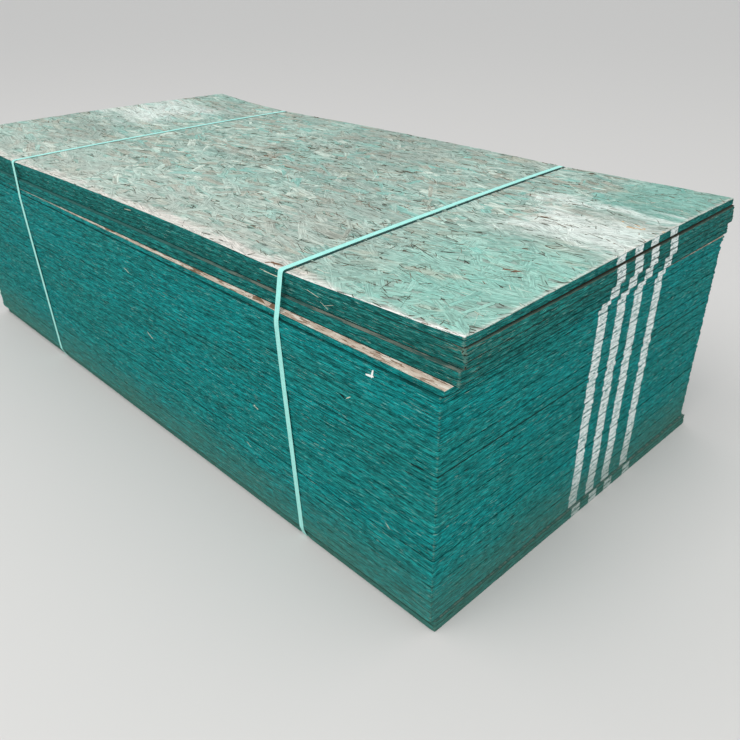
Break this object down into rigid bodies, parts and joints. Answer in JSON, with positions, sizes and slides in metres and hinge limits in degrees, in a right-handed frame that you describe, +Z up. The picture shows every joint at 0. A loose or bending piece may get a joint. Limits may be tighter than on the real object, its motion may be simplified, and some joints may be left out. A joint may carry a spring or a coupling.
{
  "type": "strapped stack of osb panels",
  "caption": "Stack of oriented strand board sheets with coated edges and white end stripes, slid and turned in lifts, tied crosswise with flat plastic straps.",
  "frame": {"origin": "on the floor, under the middle of the whole stack", "axes": "+X along the sheets towards the striped end, +Z up, -Y the long side with the bare ledge"},
  "size_m": [2.4648, 1.2702, 0.7595],
  "materials": {
    "osb": "edge coating, deep teal, rough",
    "osb_weathered": "weathered grey-green strands, teal edges",
    "strapping": "embossed light green polyester strap"
  },
  "bodies": {
    "root": {"sheet_01": "osb", "sheet_02": "osb", "sheet_03": "osb", "sheet_04": "osb", "sheet_05": "osb", "sheet_06": "osb", "sheet_07": "osb", "sheet_08": "osb", "sheet_09": "osb", "sheet_10": "osb", "sheet_11": "osb", "sheet_12": "osb", "sheet_13": "osb", "sheet_14": "osb", "sheet_15": "osb", "sheet_16": "osb", "sheet_17": "osb", "sheet_18": "osb", "sheet_19": "osb", "sheet_20": "osb", "sheet_21": "osb", "sheet_22": "osb", "sheet_23": "osb", "sheet_24": "osb", "sheet_25": "osb", "sheet_26": "osb", "sheet_27": "osb", "sheet_28": "osb", "sheet_29": "osb", "sheet_30": "osb", "sheet_31": "osb", "sheet_32": "osb", "sheet_33": "osb", "sheet_34": "osb", "sheet_35": "osb", "sheet_36": "osb", "sheet_37": "osb", "sheet_38": "osb", "sheet_39": "osb", "sheet_40": "osb", "sheet_41": "osb", "sheet_42": "osb", "sheet_43": "osb", "sheet_44": "osb", "sheet_45": "osb", "sheet_46": "osb", "sheet_47": "osb", "sheet_48": "osb_weathered", "strap_near_end": "strapping", "strap_far_end": "strapping"}
  },
  "joints": []
}
